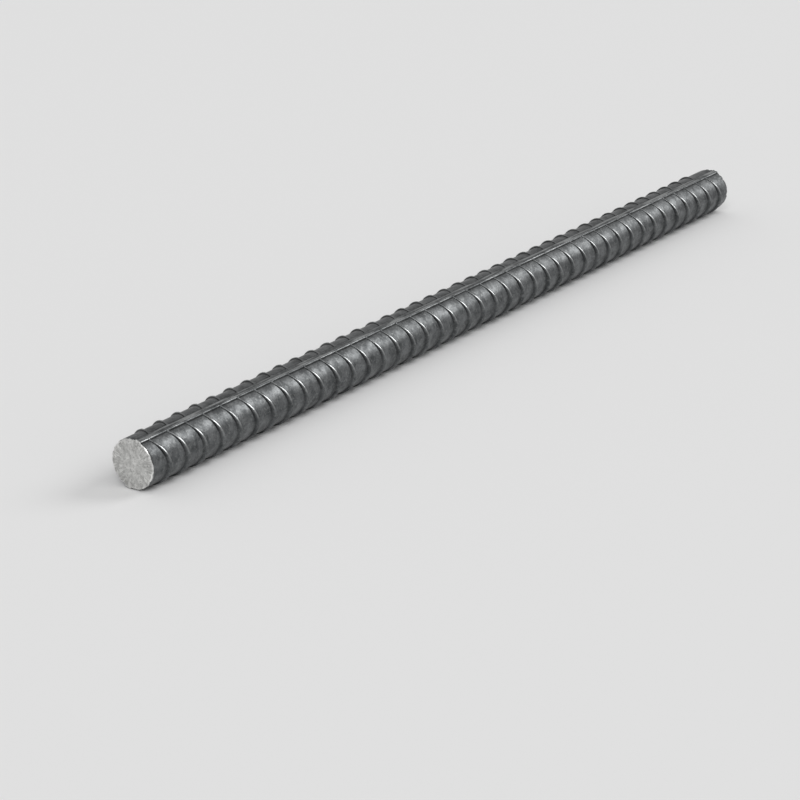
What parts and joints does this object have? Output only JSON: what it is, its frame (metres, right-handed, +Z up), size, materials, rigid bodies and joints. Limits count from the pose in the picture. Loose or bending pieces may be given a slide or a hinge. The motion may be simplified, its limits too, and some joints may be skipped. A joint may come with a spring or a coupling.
{
  "type": "rebar rod",
  "caption": "Straight steel reinforcing bar with longitudinal ribs and crescent transverse ribs, sawn square at the ends.",
  "frame": {"origin": "on the ground, under the middle of the bar's length and of its width, as it lies at rest", "axes": "+Y along the bar, from the end nearest the picture's camera to the far end; +Z up; +X to the bar's right seen from that near end"},
  "size_m": [0.013, 0.25, 0.0118],
  "materials": {
    "bar_steel": "hot rolled steel with dark mill scale, satin, bare light grey steel on the sawn ends"
  },
  "bodies": {
    "root": {"rebar_rod": "bar_steel"}
  },
  "joints": []
}
